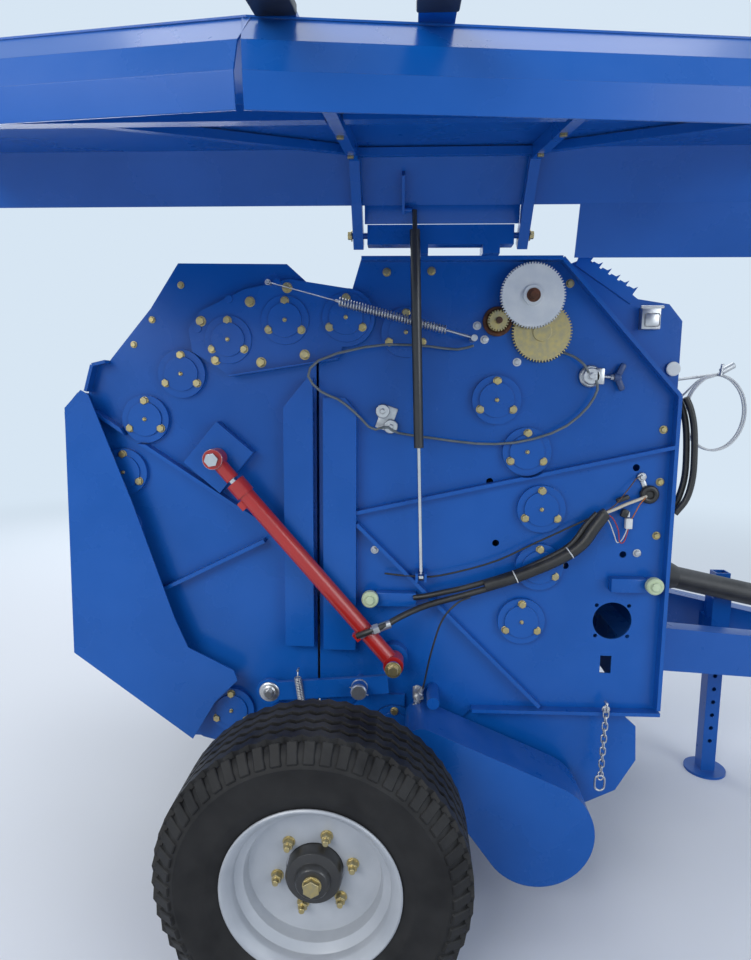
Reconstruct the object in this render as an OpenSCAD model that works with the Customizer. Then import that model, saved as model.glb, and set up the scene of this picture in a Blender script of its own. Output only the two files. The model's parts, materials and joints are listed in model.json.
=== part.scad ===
// Round baler with a fixed chamber of steel rollers.
// It stands on its two wheels and its drawbar jack, with the right cover raised.
// All positions in the modules are seen from the right: x forward, z up from the ground,
// x = 0 at the middle of the chamber. place() then moves the origin to the hitch eye.

/* [Chamber] */
// Clear width between the side plates
chamber_w = 1208; // [1190:2:1208]
// Height of the chamber's middle above the ground
chamber_z = 1198; // [1196:1:1200]
// Radius of the circle through the roller centres
ring_r = 690; // [688:1:691]
// Angle from one roller to the next
ring_step = 15.72; // [15.7:0.01:15.74]
// Diameter of a roller over its ribs
roller_d = 172; // [160:1:176]
// Number of ribs round a roller
roller_ribs = 8; // [6:1:12]
// Diameter of a bearing cap
cap_d = 152; // [140:1:160]
// Thickness of the side plates
plate_t = 6; // [5:1:6]

/* [Hitch] */
// Distance from the middle of the chamber to the hitch eye
eye_x = 2600; // [2500:10:2700]
// Height of the hitch eye
eye_z = 500; // [480:5:520]
// Bore of the hitch eye
eye_bore_d = 50; // [40:1:55]
// Bore of the yoke on the drive shaft
yoke_bore_d = 35; // [30:1:38]
// Bore of the round port in each side plate
port_d = 124; // [110:1:126]
// Diameter of the bolt circle round the port
port_pcd = 145; // [144:1:150]

/* [Wheels] */
// Outer diameter of a tyre
tyre_d = 824; // [800:1:824]
// Width of a tyre
tyre_w = 265; // [250:1:270]
// Distance from the middle of the machine to the middle of a tyre
wheel_y = 1095; // [1090:1:1120]
// Position of the axle along the machine
wheel_x = 30; // [25:1:35]
// Diameter over the rim flanges
rim_d = 466; // [450:1:470]
// Bolt circle of the wheel studs
stud_pcd = 205; // [200:1:210]

/* [Covers] */
// Angle by which the right cover is raised
cover_raised = 80; // [0:1:80]
// Height of the cover hinges
cover_hinge_z = 2120; // [2115:1:2125]
// Distance from the side plate to the cover hinges
cover_hinge_out = 50; // [45:1:55]
// Distance from the side plate to the closed cover
cover_out = 270; // [260:1:280]
// Rear end of the covers
cover_x0 = -980; // [-1000:10:-900]
// Front end of the covers
cover_x1 = 1250; // [1150:10:1260]

/* [Pickup] */
// Position of the tined reel along the machine
reel_x = 720; // [715:1:725]
// Height of the tined reel
reel_z = 400; // [395:1:405]
// Radius to the tips of the tines
tine_r = 235; // [225:1:240]
// Number of tines along a bar
tine_n = 16; // [10:1:16]
// Number of tine bars
tine_bars = 4; // [3:1:5]

/* [Drive] */
// Teeth of the white gear
white_teeth = 70; // [60:1:72]
// Teeth of the plated gear
plated_teeth = 60; // [50:1:62]
// Teeth of the pinion that drives the white gear
drive_teeth = 22; // [18:1:24]
// Teeth of the small pinion on the white gear's shaft
small_teeth = 15; // [13:1:16]
// Module of the white gear's teeth
white_module = 2.72; // [2.5:0.01:2.75]
// Module of the plated gear's teeth
plated_module = 2.97; // [2.8:0.01:3]
// Wall of the rollers and of the square tubes
tube_wall = 8; // [6:1:10]
// Sheet of the covers
sheet_t = 3; // [2:0.5:4]

/* [Hidden] */
$fn = 48;
plate_in = chamber_w / 2;
plate_out = plate_in + plate_t;
cover_hinge_y = plate_out + cover_hinge_out;
cover_y = plate_out + cover_out;
wheel_z = tyre_d / 2;
rim_r = rim_d / 2;
hinge_angle = 84.72;
hinge = ring_point(hinge_angle);
seam_x = -29;
// Angles of the rollers carried by the front frame and by the tailgate
front_ring = [-23.3, -23.3 + ring_step, -23.3 + 2 * ring_step, -23.3 + 3 * ring_step,
              -23.3 + 4 * ring_step, hinge_angle - ring_step, hinge_angle + 12 * ring_step,
              hinge_angle + 13 * ring_step];
gate_ring = [for (i = [1:11]) hinge_angle + ring_step * i];
// Outer faces of the columns and of the rear guards, and the height of the tension spring
post_y = plate_out + 40;
guard_y = post_y + 26;
spring_y = post_y + 10;
lid_x0 = 740;
cover_top = cover_hinge_z - 103;
// Pins of the tailgate cylinder, its length closed and the way from the base pin to the rod eye
base_pin = [222, 799];
eye_pin = [-341, 1450];
cyl_y = post_y + 40;
cyl_len = norm(eye_pin - base_pin);
cyl_dir = (eye_pin - base_pin) / cyl_len;
// Foot of the gas strut, its upper pin on the closed cover and the depth of its tube
strut_foot = [306, -plate_out - 55, 1078];
strut_pin_closed = [268, -cover_hinge_y - 68, cover_hinge_z - 39];
strut_tube_l = 690;
strut_rod_l = 580;
// Outline of the drawbar beams: start at the frame and end at the head
beam_start = [1088, -345, 752];
beam_end = [2180, -52, 576];
jack = [1600, 100];
pto_start = [1262, 0, 930];
pto_end = [2250, 0, 722];
lift_pin = [350, 680];
port = [928, 929];
// Centres of the net drive's gears, each at its true distance from the white gear
white_at = [627, 1950];
drive_at = white_at + white_module * (white_teeth + drive_teeth) / 2 * [cos(216.2), sin(216.2)];
plated_at = white_at + plated_module * (plated_teeth + small_teeth) / 2 * [cos(-71.6), sin(-71.6)];
// Nose and tail of the pickup's side boxes
nose = [672, 318];
nose_r = 172;
tail = [312, 604];
tail_r = 50;

function ring_point(a) = [ring_r * cos(a), chamber_z + ring_r * sin(a)];
// Points of an arc from one angle to another in n steps
function arc(c, r, from, to, n) = [for (i = [0:n]) c + r * [cos(from + (to - from) * i / n), sin(from + (to - from) * i / n)]];
function cover_turn(p, a) = [p[0],
    -cover_hinge_y + (p[1] + cover_hinge_y) * cos(a) + (p[2] - cover_hinge_z) * sin(a),
    cover_hinge_z + (p[2] - cover_hinge_z) * cos(a) - (p[1] + cover_hinge_y) * sin(a)];

// Moves the origin from the ground under the chamber to the hitch eye
module place() translate([-eye_x, 0, -eye_z]) children();
// Draws the right side, or the left side as its mirror image
module side(s) mirror([0, s > 0 ? 1 : 0, 0]) children();
// Sheet or block in the plane of the side plates, from y outwards to the right by t
module flat(y, t) translate([0, -y, 0]) rotate([90, 0, 0]) linear_extrude(t) children();
// Round bar across the machine
module across(p, d, y0, y1) translate([p[0], y0, p[1]]) rotate([-90, 0, 0]) cylinder(d = d, h = y1 - y0);
// Box across the machine from its lower rear corner
module beam(p, size, y0, y1) translate([p[0], y0, p[1]]) cube([size[0], y1 - y0, size[1]]);
// Straight bar of the side view from a to b
module bar2d(a, b, w)
    translate(a) rotate(atan2(b[1] - a[1], b[0] - a[0])) translate([0, -w / 2]) square([norm(b - a), w]);
// Bars through a list of points
module path2d(pts, w) for (i = [0:len(pts) - 2]) bar2d(pts[i], pts[i + 1], w);
// Round bar between two points in space
module between(a, b, d) {
    v = b - a;
    translate(a) rotate([0, acos(v[2] / norm(v)), atan2(v[1], v[0])]) cylinder(d = d, h = norm(v));
}

// Hollow square tube across the machine from its lower rear corner
module tube_beam(p, size) difference() {
    beam(p, size, -plate_in, plate_in);
    beam(p + tube_wall * [1, 1], size - 2 * tube_wall * [1, 1], -plate_in - 1, plate_in + 1);
}

// Toothed disc of the side view, one tooth pointing along the angle a
module gear2d(m, n, a) {
    r = m * n / 2;
    circle(r = r - 1.25 * m);
    for (i = [0:n - 1]) rotate(a + i * 360 / n)
        polygon([[r - 1.5 * m, -0.95 * m], [r, -0.72 * m], [r + 0.95 * m, -0.35 * m],
                 [r + 0.95 * m, 0.35 * m], [r, 0.72 * m], [r - 1.5 * m, 0.95 * m]]);
}

// Drop shape round the nose and the tail, drawn a distance t inside its outline
module drop2d(t) {
    v = tail - nose;
    a = atan2(v[1], v[0]);
    b = acos((nose_r - tail_r) / norm(v));
    polygon(concat(arc(nose, nose_r - t, a + b, a - b + 360, 36), arc(tail, tail_r - t, a - b, a + b, 12)));
}

// Bearing cap with its three bolts and the grease nipple
module cap(p, y) {
    across(p, cap_d, -y - 16, -y);
    across(p, cap_d - 44, -y - 22, -y);
    for (a = [90, 210, 330])
        across(p + 58 * [cos(a), sin(a)], 20, -y - 26, -y);
}

// Chamber roller with its ribs and shaft
module roller(a) {
    p = ring_point(a);
    l = chamber_w - 16;
    difference() {
        across(p, roller_d - 20, -l / 2, l / 2);
        across(p, roller_d - 20 - 2 * tube_wall, -l / 2 + 15, l / 2 - 15);
    }
    for (y = [-plate_in, l / 2 - 15]) across(p, 50, y, y + plate_in - l / 2 + 15);
    for (i = [0:roller_ribs - 1])
        translate([p[0], 0, p[1]]) rotate([0, i * 360 / roller_ribs, 0])
            translate([roller_d / 2 - 16, -l / 2, -9]) cube([16, l, 18]);
}

// Front part of the side, with the port for the side drive and the smaller holes
module frame_outline() {
    difference() {
        polygon([[seam_x + 4, 430], [300, 430], [478, 608], [1088, 614], [1088, 1655], [712, 2066],
                 [108, 2066], [hinge[0] + 14, hinge[1] + 80], [hinge[0] - 60, hinge[1] + 52],
                 [seam_x + 4, hinge[1] - 100]]);
        translate(lift_pin) circle(d = 40.6);
        translate(port) circle(d = port_d);
        for (i = [0:3]) translate(port + port_pcd / 2 * [cos(45 + 90 * i), sin(45 + 90 * i)])
            circle(d = 13);
        translate([915, 780]) square([36, 60], center = true);
        for (p = [[1045, 1052], [1000, 1350], [975, 1430], [950, 1150], [520, 1380], [545, 1180], [770, 1110]])
            translate(p) circle(d = 22);
    }
}

module side_plate(s) {
    color("royalblue") side(s) {
        flat(plate_in, plate_t) frame_outline();
        for (a = front_ring) cap(ring_point(a), plate_out);
        across(hinge, 96, -plate_out - 6, -plate_out);
        across(hinge, 60, -plate_out - 24, -plate_out);
    }
}

// Columns beside the seam, braces and folded edges of the front part
module frame_posts(s) {
    color("royalblue") side(s) {
        flat(plate_out, post_y - plate_out) polygon([[-8, 822], [97, 822], [97, 1600], [60, 1640], [-8, 1640]]);
        flat(plate_out, 34) difference() {
            union() {
                path2d([[97, 1276], [1080, 1498]], 12);
                path2d([[97, 1240], [700, 640]], 12);
                path2d([[480, 620], [1088, 626]], 12);
                path2d([[1082, 640], [1082, 1655], [712, 2060], [110, 2060]], 12);
            }
            translate(port) circle(d = 200);
            for (a = front_ring) translate(ring_point(a)) circle(d = cap_d + 8);
        }
        flat(plate_out, 38) translate(base_pin) circle(d = 90);
        across(base_pin, 30, -cyl_y - 45, -plate_out);
        across(base_pin, 46, -cyl_y - 52, -cyl_y - 38);
        for (x = [288, 316]) translate([x, strut_foot[1] - 15, strut_foot[2] - 14]) cube([8, 70, 28]);
        translate([288, strut_foot[1], strut_foot[2]]) rotate([0, 90, 0]) cylinder(d = 10, h = 36);
    }
}

// Cross beams of the frame, the two cover hinge beams and the front wall
module cross_members() {
    color("royalblue") {
        tube_beam([1000, 632], [88, 190]);
        tube_beam([1030, 1560], [50, 80]);
        tube_beam([250, 1985], [90, 75]);
        tube_beam([560, 1985], [90, 75]);
        beam([1080, 822], [6, 738], -plate_in, plate_in);
        for (s = [-1, 1]) side(s) {
            translate([130, -cover_hinge_y - 16, cover_hinge_z - 28]) cube([430, 50, 56]);
            for (x = [260, 470]) translate([x, -cover_hinge_y - 16, cover_hinge_z - 54])
                cube([50, cover_hinge_y + 32 - plate_in, 30]);
            translate([84, -cover_hinge_y, cover_hinge_z]) rotate([0, 90, 0]) cylinder(d = 18, h = 524);
        }
    }
}

// Tray and end plates of the net roll at the front of the roof
module net_box() {
    color("royalblue") {
        for (s = [-1, 1]) side(s)
            flat(plate_in - 6, 6) polygon([[720, 2040], [790, 2068], [950, 1945], [1045, 1930], [1087, 1880],
                                           [1087, 1640], [1000, 1640], [700, 2000]]);
        flat(-plate_in + 6, chamber_w - 12) path2d([[800, 1850], [900, 1760], [1080, 1700], [1084, 1860]], 5);
        across([880, 1960], 40, -plate_in + 6, plate_in - 6);
    }
}

// Saw-toothed edge over the gears
module net_comb() {
    color("lightsteelblue") for (s = [-1, 1]) side(s)
        flat(plate_in, 5) union() {
            polygon([[757, 2044], [767, 2072], [935, 1970], [927, 1930]]);
            for (i = [0:5]) translate([778, 2070] + i * [27, -18]) rotate(-34.6)
                polygon([[0, -4], [28, -4], [28, 20], [20, 8], [4, 6]]);
        }
}

module front_rollers() {
    color("slategray") for (a = concat(front_ring, [hinge_angle])) roller(a);
}

// White gear with the small pinion on its shaft
module white_gear() {
    color("white") {
        flat(plate_out + 24, 14) translate(white_at) difference() {
            gear2d(white_module, white_teeth, 216.2);
            circle(d = 24);
        }
        across(white_at, 60, -plate_out - 46, -plate_out - 38);
    }
    color("silver") {
        across(white_at, 24, -plate_out - 54, -plate_out);
        flat(plate_out + 4, 14) translate(white_at) gear2d(plated_module, small_teeth, -71.6);
    }
}

module plated_gear() {
    color("khaki") {
        flat(plate_out + 4, 12) translate(plated_at)
            gear2d(plated_module, plated_teeth, 180 - 71.6 + 180 / plated_teeth);
        across(plated_at, 56, -plate_out - 22, -plate_out - 4);
        across(plated_at, 22, -plate_out - 20, -plate_out);
    }
}

// Pinion of the net drive in its ring
module net_pinion() {
    color("sienna") difference() {
        across(drive_at, 60, -plate_out - 20, -plate_out);
        across(drive_at, 40, -plate_out - 60, -plate_out - 8);
    }
    color("silver") {
        across(drive_at, 20, -plate_out - 50, -plate_out);
        flat(plate_out + 24, 14) translate(drive_at)
            gear2d(white_module, drive_teeth, 216.2 - 180 + 180 / drive_teeth);
    }
}

// Pulleys, guides and levers of the net tying
module net_linkage() {
    color("silver") {
        across([815, 1712], 68, -plate_out - 32, -plate_out);
        across([204, 1552], 44, -plate_out - 26, -plate_out);
        flat(plate_out, 8) bar2d([160, 1585], [215, 1530], 40);
        flat(plate_out, 10) polygon([[830, 1700], [900, 1745], [915, 1700], [850, 1668]]);
        flat(plate_in, 26) translate([940, 1868]) square([56, 44]);
        across([152, 1114], 34, -plate_out - 62, -plate_out);
        across([1040, 1052], 34, -plate_out - 30, -plate_out);
    }
}

module tension_spring() {
    color("dimgray") {
        between([130, -spring_y, 1906], [369, -spring_y, 1845], 24);
        between([369, -spring_y, 1845], [452, -spring_y, 1822], 8);
        between([84, -spring_y, 1918], [130, -spring_y, 1906], 8);
        across([452, 1822], 20, -spring_y - 10, -plate_out);
    }
}

// Latch arm that holds the tailgate shut
module latch(s) {
    color("royalblue") side(s) {
        flat(post_y + 4, 14) union() {
            path2d([[-186, 678], [112, 705], [205, 716]], 62);
            translate([-186, 678]) circle(d = 86);
        }
        across([112, 705], 36, -post_y - 40, -plate_out);
    }
    color("silver") side(s) across([112, 705], 50, -post_y - 62, -post_y - 18);
}

module axle() {
    color("royalblue") {
        beam([-15, 312], [90, 90], 225 - wheel_y, wheel_y - 225);
        for (s = [-1, 1]) side(s) {
            flat(plate_out, 12) difference() {
                polygon([[-25, 312], [120, 312], [260, 480], [260, 660], [120, 660], [-15, 480]]);
                for (i = [12, 13]) translate(ring_point(hinge_angle + i * ring_step)) circle(d = cap_d + 4);
            }
            flat(wheel_y - 255, 60) polygon([[-15, 312], [75, 312], [75, 455], [-15, 455]]);
            across([wheel_x, wheel_z], 70, -wheel_y - 13, 255 - wheel_y);
        }
    }
}

// Slanted square tube of the drawbar, drawn d smaller all round
module drawbar_tube(d) {
    v = beam_end - beam_start;
    translate(beam_start) rotate([0, 0, atan2(v[1], v[0])])
        rotate([0, -atan2(v[2], norm([v[0], v[1]])), 0])
            translate([-60, -40 + d, -80 + d]) cube([norm(v) + 120, 80 - 2 * d, 160 - 2 * d]);
}

// Beam of the drawbar, cut square to the frame and to the nose
module drawbar_beam(s) {
    color("royalblue") side(s) difference() {
        drawbar_tube(0);
        intersection() {
            drawbar_tube(tube_wall);
            translate([beam_start[0] + 8, -600, 400]) cube([beam_end[0] - beam_start[0] - 16, 600, 600]);
        }
        translate([beam_start[0] - 200, -600, 400]) cube([200, 800, 600]);
        translate([beam_end[0], -600, 400]) cube([200, 800, 600]);
    }
}

// Nose of the drawbar with the hitch eye, the shaft holder and the sleeve of the jack
module drawbar_head() {
    color("royalblue") {
        difference() {
            union() {
                translate([beam_end[0], -95, 488]) cube([230, 190, 150]);
                translate([2400, -45, 468]) cube([150, 90, 64]);
                translate([eye_x, 0, eye_z - 20]) cylinder(d = 120, h = 40);
                translate([2500, -45, 480]) cube([80, 90, 40]);
            }
            translate([eye_x, 0, eye_z - 60]) cylinder(d = eye_bore_d, h = 120);
        }
        translate([2226, -12, 636]) cube([14, 24, 49]);
        difference() {
            translate([jack[0] - 38, jack[1] - 38, 610]) cube([76, 76, 190]);
            translate([jack[0] - 30.3, jack[1] - 30.3, 500]) cube([60.6, 60.6, 400]);
        }
        difference() {
            translate([jack[0] - 40, jack[1] + 38, 625]) cube([80, 90, 80]);
            side(1) drawbar_tube(0);
        }
    }
}

module gearbox() {
    color("royalblue") {
        translate([1086, -140, 830]) cube([130, 280, 220]);
        translate([1200, 0, 941]) rotate([0, 90, 0]) cylinder(d = 120, h = 50);
        across([1150, 945], 90, -260, -120);
    }
}

// Telescopic drive shaft with its guard and the yoke for the tractor
module drive_shaft() {
    v = (pto_end - pto_start) / norm(pto_end - pto_start);
    color("dimgray") {
        difference() {
            union() {
                translate(pto_start) rotate([0, acos(v[2]), 0]) cylinder(d1 = 170, d2 = 92, h = 110);
                between(pto_start + 100 * v, pto_end - 170 * v, 90);
                between(pto_end - 180 * v, pto_end - 90 * v, 130);
                between(pto_end - 100 * v, pto_end, 76);
            }
            translate(pto_end) rotate([0, acos(v[2]), 0]) translate([0, 0, -80]) cylinder(d = yoke_bore_d, h = 160);
        }
    }
    color("gray") between(pto_start - 5.5 * v, pto_start + 4 * v, 60);
}

module jack_leg() {
    color("silver") {
        difference() {
            translate([jack[0] - 30, jack[1] - 30, 8]) cube([60, 60, 900]);
            translate([jack[0] - 24, jack[1] - 24, 14]) cube([48, 48, 950]);
            for (z = [150:60:850]) across([jack[0], z], 18, jack[1] - 50, jack[1] + 50);
        }
        translate([jack[0], jack[1], 0]) cylinder(d = 170, h = 10);
    }
}

// Hoses from the valve block to the right cylinder, and the bundle down the front edge
module hoses() {
    color("dimgray") {
        flat(post_y - 5, 34) path2d([[200, 952], [300, 996], [462, 1036], [620, 1080], [740, 1138], [800, 1190],
                                         [851, 1268]], 20);
        flat(plate_out, 56) translate([850, 1262]) square([60, 50]);
        flat(plate_in - 14, 40) path2d([[1112, 1300], [1135, 1430], [1112, 1640]], 20);
        flat(plate_in - 14, 40) translate([1088, 1600]) square([40, 40]);
        flat(plate_in - 14, 40) translate([1088, 1285]) square([40, 30]);
    }
}

// Sprockets and chain on the left side
module drive_chain() {
    color("dimgray") side(1) {
        flat(plate_out + 24, 14) translate(port) circle(d = 260);
        across(port, 150, -plate_out - 24, -plate_out);
        across(port, 60, -plate_out - 44, -plate_out);
    }
}

module gate_outline() {
    difference() {
        polygon([[seam_x - 4, 425], [seam_x - 4, hinge[1] - 60], [hinge[0] - 78, hinge[1] + 68], [-123, 2049],
                 [-465, 2052], [-557, 1915], [-697, 1752], [-745, 1740], [-770, 1655], [-800, 1580],
                 [-806, 800], [-560, 560], [-430, 480], [-200, 425]]);
        translate(hinge) circle(d = 180);
    }
}

// Rear part of the side with its column, ribs and the hinge plate that laps over the frame
module tailgate_side(s) {
    color("royalblue") side(s) {
        flat(plate_in, plate_t) gate_outline();
        for (a = gate_ring) cap(ring_point(a), plate_out);
        flat(plate_out, post_y - plate_out) polygon([[-133, 831], [-40, 831], [-40, 1700], [-58, 1700], [-133, 1610]]);
        flat(plate_out, 36) difference() {
            union() {
                path2d([[-745, 1590], [-200, 1232]], 12);
                path2d([[-200, 1180], [-540, 1010]], 12);
                path2d([[-765, 1655], [-740, 1738], [-697, 1748]], 10);
            }
            for (a = gate_ring) translate(ring_point(a)) circle(d = cap_d + 8);
        }
        flat(plate_out, post_y + 5 - plate_out) translate(eye_pin) rotate(-40) square([150, 170], center = true);
        flat(plate_out + 20, 6) difference() {
            union() {
                translate(hinge) circle(d = 176);
                polygon([[hinge[0] - 10, 1800], [hinge[0], hinge[1] + 88], [-110, 2000], [-250, 1970], [-390, 1905],
                         [-430, 1850], [-420, 1780], [-300, 1706], [40, 1760]]);
            }
            translate(hinge) circle(d = 60.6);
        }
        for (a = [hinge_angle, hinge_angle + ring_step, hinge_angle + 2 * ring_step]) {
            across(ring_point(a), cap_d - 4, -plate_out - 32, -plate_out - 26);
            across(ring_point(a), cap_d - 48, -plate_out - 38, -plate_out - 32);
        }
        flat(plate_out + 20, 34) bar2d([-300, 1706], [40, 1760], 5);
        for (p = [[-150, 1990], [-300, 1940], [-400, 1850]]) across(p, 24, -plate_out - 30, -plate_out);
    }
}

// Sheets and beams that join the two sides of the tailgate
module tailgate_beams() {
    color("royalblue") flat(-plate_in, chamber_w) {
        path2d([[-128, 2046], [-462, 2048], [-554, 1912], [-692, 1750]], 5);
        translate([-800, 1560]) square([40, 80]);
        translate([-806, 800]) square([30, 80]);
        translate([-480, 482]) square([60, 40]);
    }
}

module tailgate_rollers() {
    color("slategray") for (a = gate_ring) roller(a);
}

// Guard plate round the rear of the side
module tailgate_guard(s) {
    color("royalblue") side(s) {
        flat(guard_y, 4) polygon([[-763, 1659], [-817, 1603], [-832, 800], [-443, 510], [-365, 642], [-288, 720],
                              [-300, 754], [-449, 828], [-491, 928], [-613, 1301], [-739, 1644]]);
        flat(plate_out, guard_y - plate_out) {
            path2d([[-773, 1649], [-815, 1602]], 5);
            path2d([[-810, 1590], [-810, 830]], 20);
        }
    }
}

// Tyre as a plain solid of revolution out to its tread blocks
module tyre(s) {
    h = tyre_w / 2;
    r = tyre_d / 2;
    wide_r = (rim_r + r - 5) / 2;
    color("dimgray") side(s) translate([wheel_x, -wheel_y, wheel_z]) rotate([90, 0, 0]) rotate_extrude($fn = 72)
        difference() {
            polygon([[rim_r - 27, -h + 34], [rim_r + 1, -h + 17], [rim_r + 29, -h + 7], [wide_r, -h], [r - 47, -h + 8],
                     [r - 12, -h + 30], [r, -h + 52], [r, h - 52], [r - 12, h - 30], [r - 47, h - 8], [wide_r, h],
                     [rim_r + 29, h - 7], [rim_r + 1, h - 17], [rim_r - 27, h - 34]]);
            polygon([[rim_r - 33, -h + 58], [rim_r + 37, -h + 24], [wide_r, -h + 18], [r - 52, -h + 26],
                     [r - 30, -h + 56], [r - 30, h - 56], [r - 52, h - 26], [wide_r, h - 18], [rim_r + 37, h - 24],
                     [rim_r - 33, h - 58]]);
        }
}

// Rim with its deep-set disc, hub and studs
module rim(s) {
    h = tyre_w / 2;
    color("lightgray") side(s) translate([wheel_x, -wheel_y, wheel_z]) rotate([90, 0, 0]) {
        rotate_extrude($fn = 72)
            polygon([[rim_r - 41, -h + 24], [rim_r, -h + 10], [rim_r, -h + 16], [rim_r - 27.4, -h + 33],
                     [rim_r - 27.4, h - 33], [rim_r, h - 16], [rim_r, h - 10], [rim_r - 41, h - 24]]);
        difference() {
            union() {
                translate([0, 0, 30]) cylinder(r = rim_r - 35, h = 8);
                translate([0, 0, -40]) cylinder(d = 145, h = 118);
                for (i = [0:5]) rotate(i * 60) translate([stud_pcd / 2, 0, 36]) cylinder(d = 30, h = 22);
                translate([0, 0, 70]) cylinder(d = 84, h = 36);
            }
            translate([0, 0, -60]) cylinder(d = 70.14, h = 80);
            for (i = [0:7]) rotate(22.5 + i * 45) translate([rim_r - 75, 0, 20]) cylinder(d = 34, h = 30);
        }
    }
}

// Turns the right cover up from its closed position
module cover_pose(s)
    translate([0, -cover_hinge_y, cover_hinge_z]) rotate([s < 0 ? -cover_raised : 0, 0, 0])
        translate([0, cover_hinge_y, -cover_hinge_z]) children();

// Sheet of the cover's cross-section between two points, from x0 to x1
module fold(a, b, t, x0, x1)
    translate([x0, a[0], a[1]]) rotate([atan2(b[1] - a[1], b[0] - a[0]), 0, 0]) translate([0, 0, -t / 2])
        cube([x1 - x0, norm(b - a), t]);

// Lower rolled edge of the cover, rising by 10 degrees from the apex towards one end
module cover_edge(dir, l) {
    translate([40, 0, 1042]) mirror([dir < 0 ? 1 : 0, 0, 0]) rotate([0, -10, 0]) {
        fold([-cover_y + 1.5, 4], [-cover_y + 42, -46], sheet_t, -6, l);
        fold([-cover_y + 41, -46], [-cover_y + 80, -64], sheet_t, -6, l);
        fold([-cover_y + 79, -64], [-cover_y + 124, -64], sheet_t, -6, l);
    }
}

module cover_panel(s) {
    color("royalblue") side(s) cover_pose(s) {
        flat(cover_y - sheet_t, sheet_t)
            polygon([[cover_x0, cover_top], [cover_x1, cover_top], [cover_x1, 1255], [40, 1040], [cover_x0, 1222]]);
        fold([-cover_y + 1.5, cover_top], [-cover_hinge_y - 82, cover_hinge_z - 26], sheet_t, cover_x0, cover_x1);
        fold([-cover_hinge_y - 84, cover_hinge_z - 27], [-cover_hinge_y + 63, cover_hinge_z - 11], sheet_t, lid_x0, cover_x1);
        cover_edge(1, 1225);
        cover_edge(-1, 1032);
        for (x = [cover_x0, cover_x1 - sheet_t])
            translate([x, -cover_y, 1250]) cube([sheet_t, 46, cover_top - 1252]);
        flat(cover_y - 33, 30) difference() {
            translate([cover_x0 + 30, 1500]) square([cover_x1 - cover_x0 - 60, 46]);
            for (x = [84, 568]) translate([x, 1490]) square([38, 70]);
        }
    }
}

// Hinge arms, braces and the handle of a cover. The strut's bracket and pin stand on the
// side of the strut from which it moves away as it leans
module cover_arms(s) {
    stay_x = s < 0 ? 232 : 296;
    pin_x = s < 0 ? strut_pin_closed[0] - 32 : strut_pin_closed[0] + 8;
    color("royalblue") side(s) cover_pose(s) {
        for (x = [88, 572]) {
            difference() {
                fold([-cover_hinge_y + 30, cover_hinge_z + 10], [-cover_hinge_y - 92, cover_hinge_z - 58], 38, x, x + 30);
                translate([x - 5, -cover_hinge_y, cover_hinge_z]) rotate([0, 90, 0]) cylinder(d = 18.6, h = 50);
            }
            fold([-cover_hinge_y - 85, cover_hinge_z - 58], [-cover_y + 24, cover_hinge_z - 130], 30, x + 1, x + 29);
            translate([x + 2, -cover_y + sheet_t, 1300]) cube([26, 34, cover_top - 1311]);
        }
        fold([-cover_hinge_y - 158.1, cover_hinge_z - 88], [-cover_hinge_y - 62.3, cover_hinge_z - 34], 30, stay_x, stay_x + 8);
        translate([pin_x, strut_pin_closed[1], strut_pin_closed[2]]) rotate([0, 90, 0]) cylinder(d = 14, h = 24);
        for (bar = [[[100, 1950], [-420, 1560]], [[590, 1950], [1080, 1560]], [[103, 1980], [587, 1980]]])
            flat(cover_y - sheet_t - 24, 20) bar2d(bar[0], bar[1], 30);
        flat(cover_y, 8) difference() {
            translate([55, 850]) square([260, 280]);
            translate([105, 890]) square([160, 300]);
        }
    }
}

// Gas strut: its rod on the frame and its tube on the cover
module strut_rod(s) {
    top = cover_turn(strut_pin_closed, s < 0 ? cover_raised : 0);
    v = (top - strut_foot) / norm(top - strut_foot);
    color("silver") side(s) difference() {
        union() {
            between(strut_foot + 8 * v, strut_foot + strut_rod_l * v, 12);
            translate([299, strut_foot[1], strut_foot[2]]) rotate([0, 90, 0]) cylinder(d = 26, h = 14);
        }
        translate([290, strut_foot[1], strut_foot[2]]) rotate([0, 90, 0]) cylinder(d = 10.12, h = 40);
    }
}

module strut_tube(s) {
    top = cover_turn(strut_pin_closed, s < 0 ? cover_raised : 0);
    v = (top - strut_foot) / norm(top - strut_foot);
    color("dimgray") side(s) {
        difference() {
            between(top - 54 * v, top - strut_tube_l * v, 30);
            between(top - 80 * v, top - (strut_tube_l + 40) * v, 14);
        }
        between(top, top - 56 * v, 14);
    }
}

// Turns things drawn along +x so that they lie along the tailgate cylinder
module along_cylinder()
    translate([base_pin[0], -cyl_y, base_pin[1]]) rotate([0, -atan2(cyl_dir[1], cyl_dir[0]), 0]) children();

module cylinder_barrel(s) {
    color("firebrick") side(s) along_cylinder() difference() {
        union() {
            translate([20, 0, 0]) rotate([0, 90, 0]) cylinder(d = 52, h = 745);
            translate([715, 0, 0]) rotate([0, 90, 0]) cylinder(d = 62, h = 50.4);
            rotate([90, 0, 0]) translate([0, 0, -28]) cylinder(d = 64, h = 56);
            translate([128, -12, 22]) cube([28, 24, 18]);
            translate([680, -12, 22]) cube([28, 24, 18]);
        }
        rotate([90, 0, 0]) translate([0, 0, -50]) cylinder(d = 31, h = 100);
        translate([80, 0, 0]) rotate([0, 90, 0]) cylinder(d = 32.6, h = 720);
    }
}

module cylinder_rod(s) {
    color("silver") side(s) along_cylinder() {
        translate([90, 0, 0]) rotate([0, 90, 0]) cylinder(d = 32, h = cyl_len - 110);
        translate([cyl_len, 0, 0]) rotate([90, 0, 0]) translate([0, 0, -28]) cylinder(d = 62, h = 56);
        translate([cyl_len, 0, 0]) rotate([90, 0, 0]) translate([0, 0, -32]) cylinder(d = 28, h = 74);
        translate([cyl_len, 0, 0]) rotate([90, 0, 0]) translate([0, 0, 28]) cylinder(d = 44, h = 14, $fn = 6);
    }
}

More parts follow.
